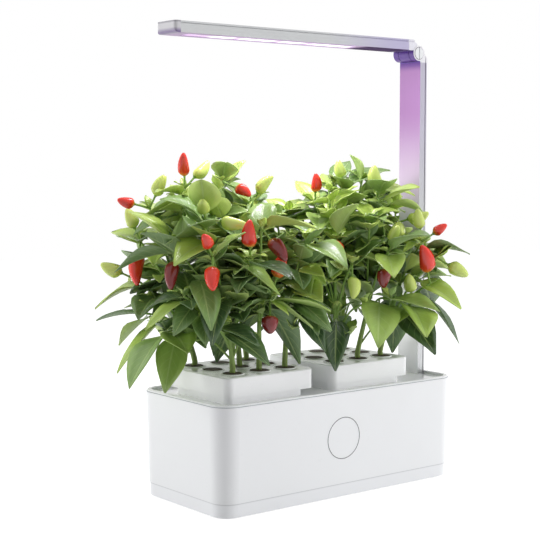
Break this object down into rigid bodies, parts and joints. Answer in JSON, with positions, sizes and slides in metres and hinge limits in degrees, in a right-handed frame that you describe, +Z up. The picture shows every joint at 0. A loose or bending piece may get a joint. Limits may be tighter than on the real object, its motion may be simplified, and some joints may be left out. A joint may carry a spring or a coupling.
{
  "type": "indoor grow pod",
  "caption": "Tabletop indoor garden: a white water tank with lift-out planting trays of chilli plants, under a folding grow lamp on an aluminium post.",
  "frame": {"origin": "middle of the resting face, under the centre of the tank", "axes": "+Z up, +X towards the lamp post, -Y the front of the tank"},
  "size_m": [0.3595, 0.271, 0.449],
  "materials": {
    "white_plastic": "smooth white moulding",
    "deck_plastic": "polished white moulding",
    "tray_plastic": "smooth white moulding",
    "grey_seal": "soft grey",
    "foot_rubber": "matt",
    "screw_steel": "zinc plated",
    "lamp_aluminium": "satin anodised",
    "hinge_plastic": "smooth white moulding",
    "washer_plastic": "nylon",
    "lens_plastic": "opal diffuser",
    "led_yellow": "phosphor",
    "board_green": "solder mask",
    "board_white": "white solder mask",
    "black_plastic": "moulded",
    "lead_rubber": "insulation",
    "plug_sponge": "damp sponge",
    "wick_felt": "felt",
    "leaf_green": "living leaf",
    "fruit_red": "waxy skin"
  },
  "bodies": {
    "base": {"base_plinth": "white_plastic", "rubber_feet": "foot_rubber", "plinth_screws": "screw_steel", "water_tank": "white_plastic", "rim_seal": "grey_seal", "deck_cover": "deck_plastic", "post_socket": "white_plastic", "driver_board": "board_green", "dc_inlet": "black_plastic", "inlet_leads": "lead_rubber", "post_channel": "lamp_aluminium", "post_rear_cover": "lamp_aluminium", "post_knuckle": "hinge_plastic", "post_lead": "lead_rubber", "hinge_pin": "screw_steel", "hinge_screw": "hinge_plastic", "hinge_nut": "hinge_plastic", "friction_washers": "washer_plastic"},
    "lamp": {"arm_channel": "lamp_aluminium", "arm_top_cover": "lamp_aluminium", "arm_tip_cap": "hinge_plastic", "arm_knuckle": "hinge_plastic", "arm_lead": "lead_rubber", "led_lens": "lens_plastic", "led_board": "board_white", "led_chips": "led_yellow"},
    "left_tray": {"left_tray_box": "tray_plastic", "left_tray_lid": "tray_plastic", "left_grow_plugs": "plug_sponge", "left_wick": "wick_felt", "left_plants": "leaf_green", "left_fruits": "fruit_red"},
    "right_tray": {"right_tray_box": "tray_plastic", "right_tray_lid": "tray_plastic", "right_grow_plugs": "plug_sponge", "right_wick": "wick_felt", "right_plants": "leaf_green", "right_fruits": "fruit_red"}
  },
  "joints": [
    {"name": "lamp_hinge", "type": "hinge", "parent": "base", "child": "lamp", "pos_m": [0.1337, -0.012, 0.4355], "axis": [0, 1, 0], "range_deg": [-8, 90]},
    {"name": "left_tray_lift", "type": "slide", "parent": "base", "child": "left_tray", "axis": [0, 0, 1], "range_m": [0, 0.045]},
    {"name": "right_tray_lift", "type": "slide", "parent": "base", "child": "right_tray", "axis": [0, 0, 1], "range_m": [0, 0.045]}
  ]
}
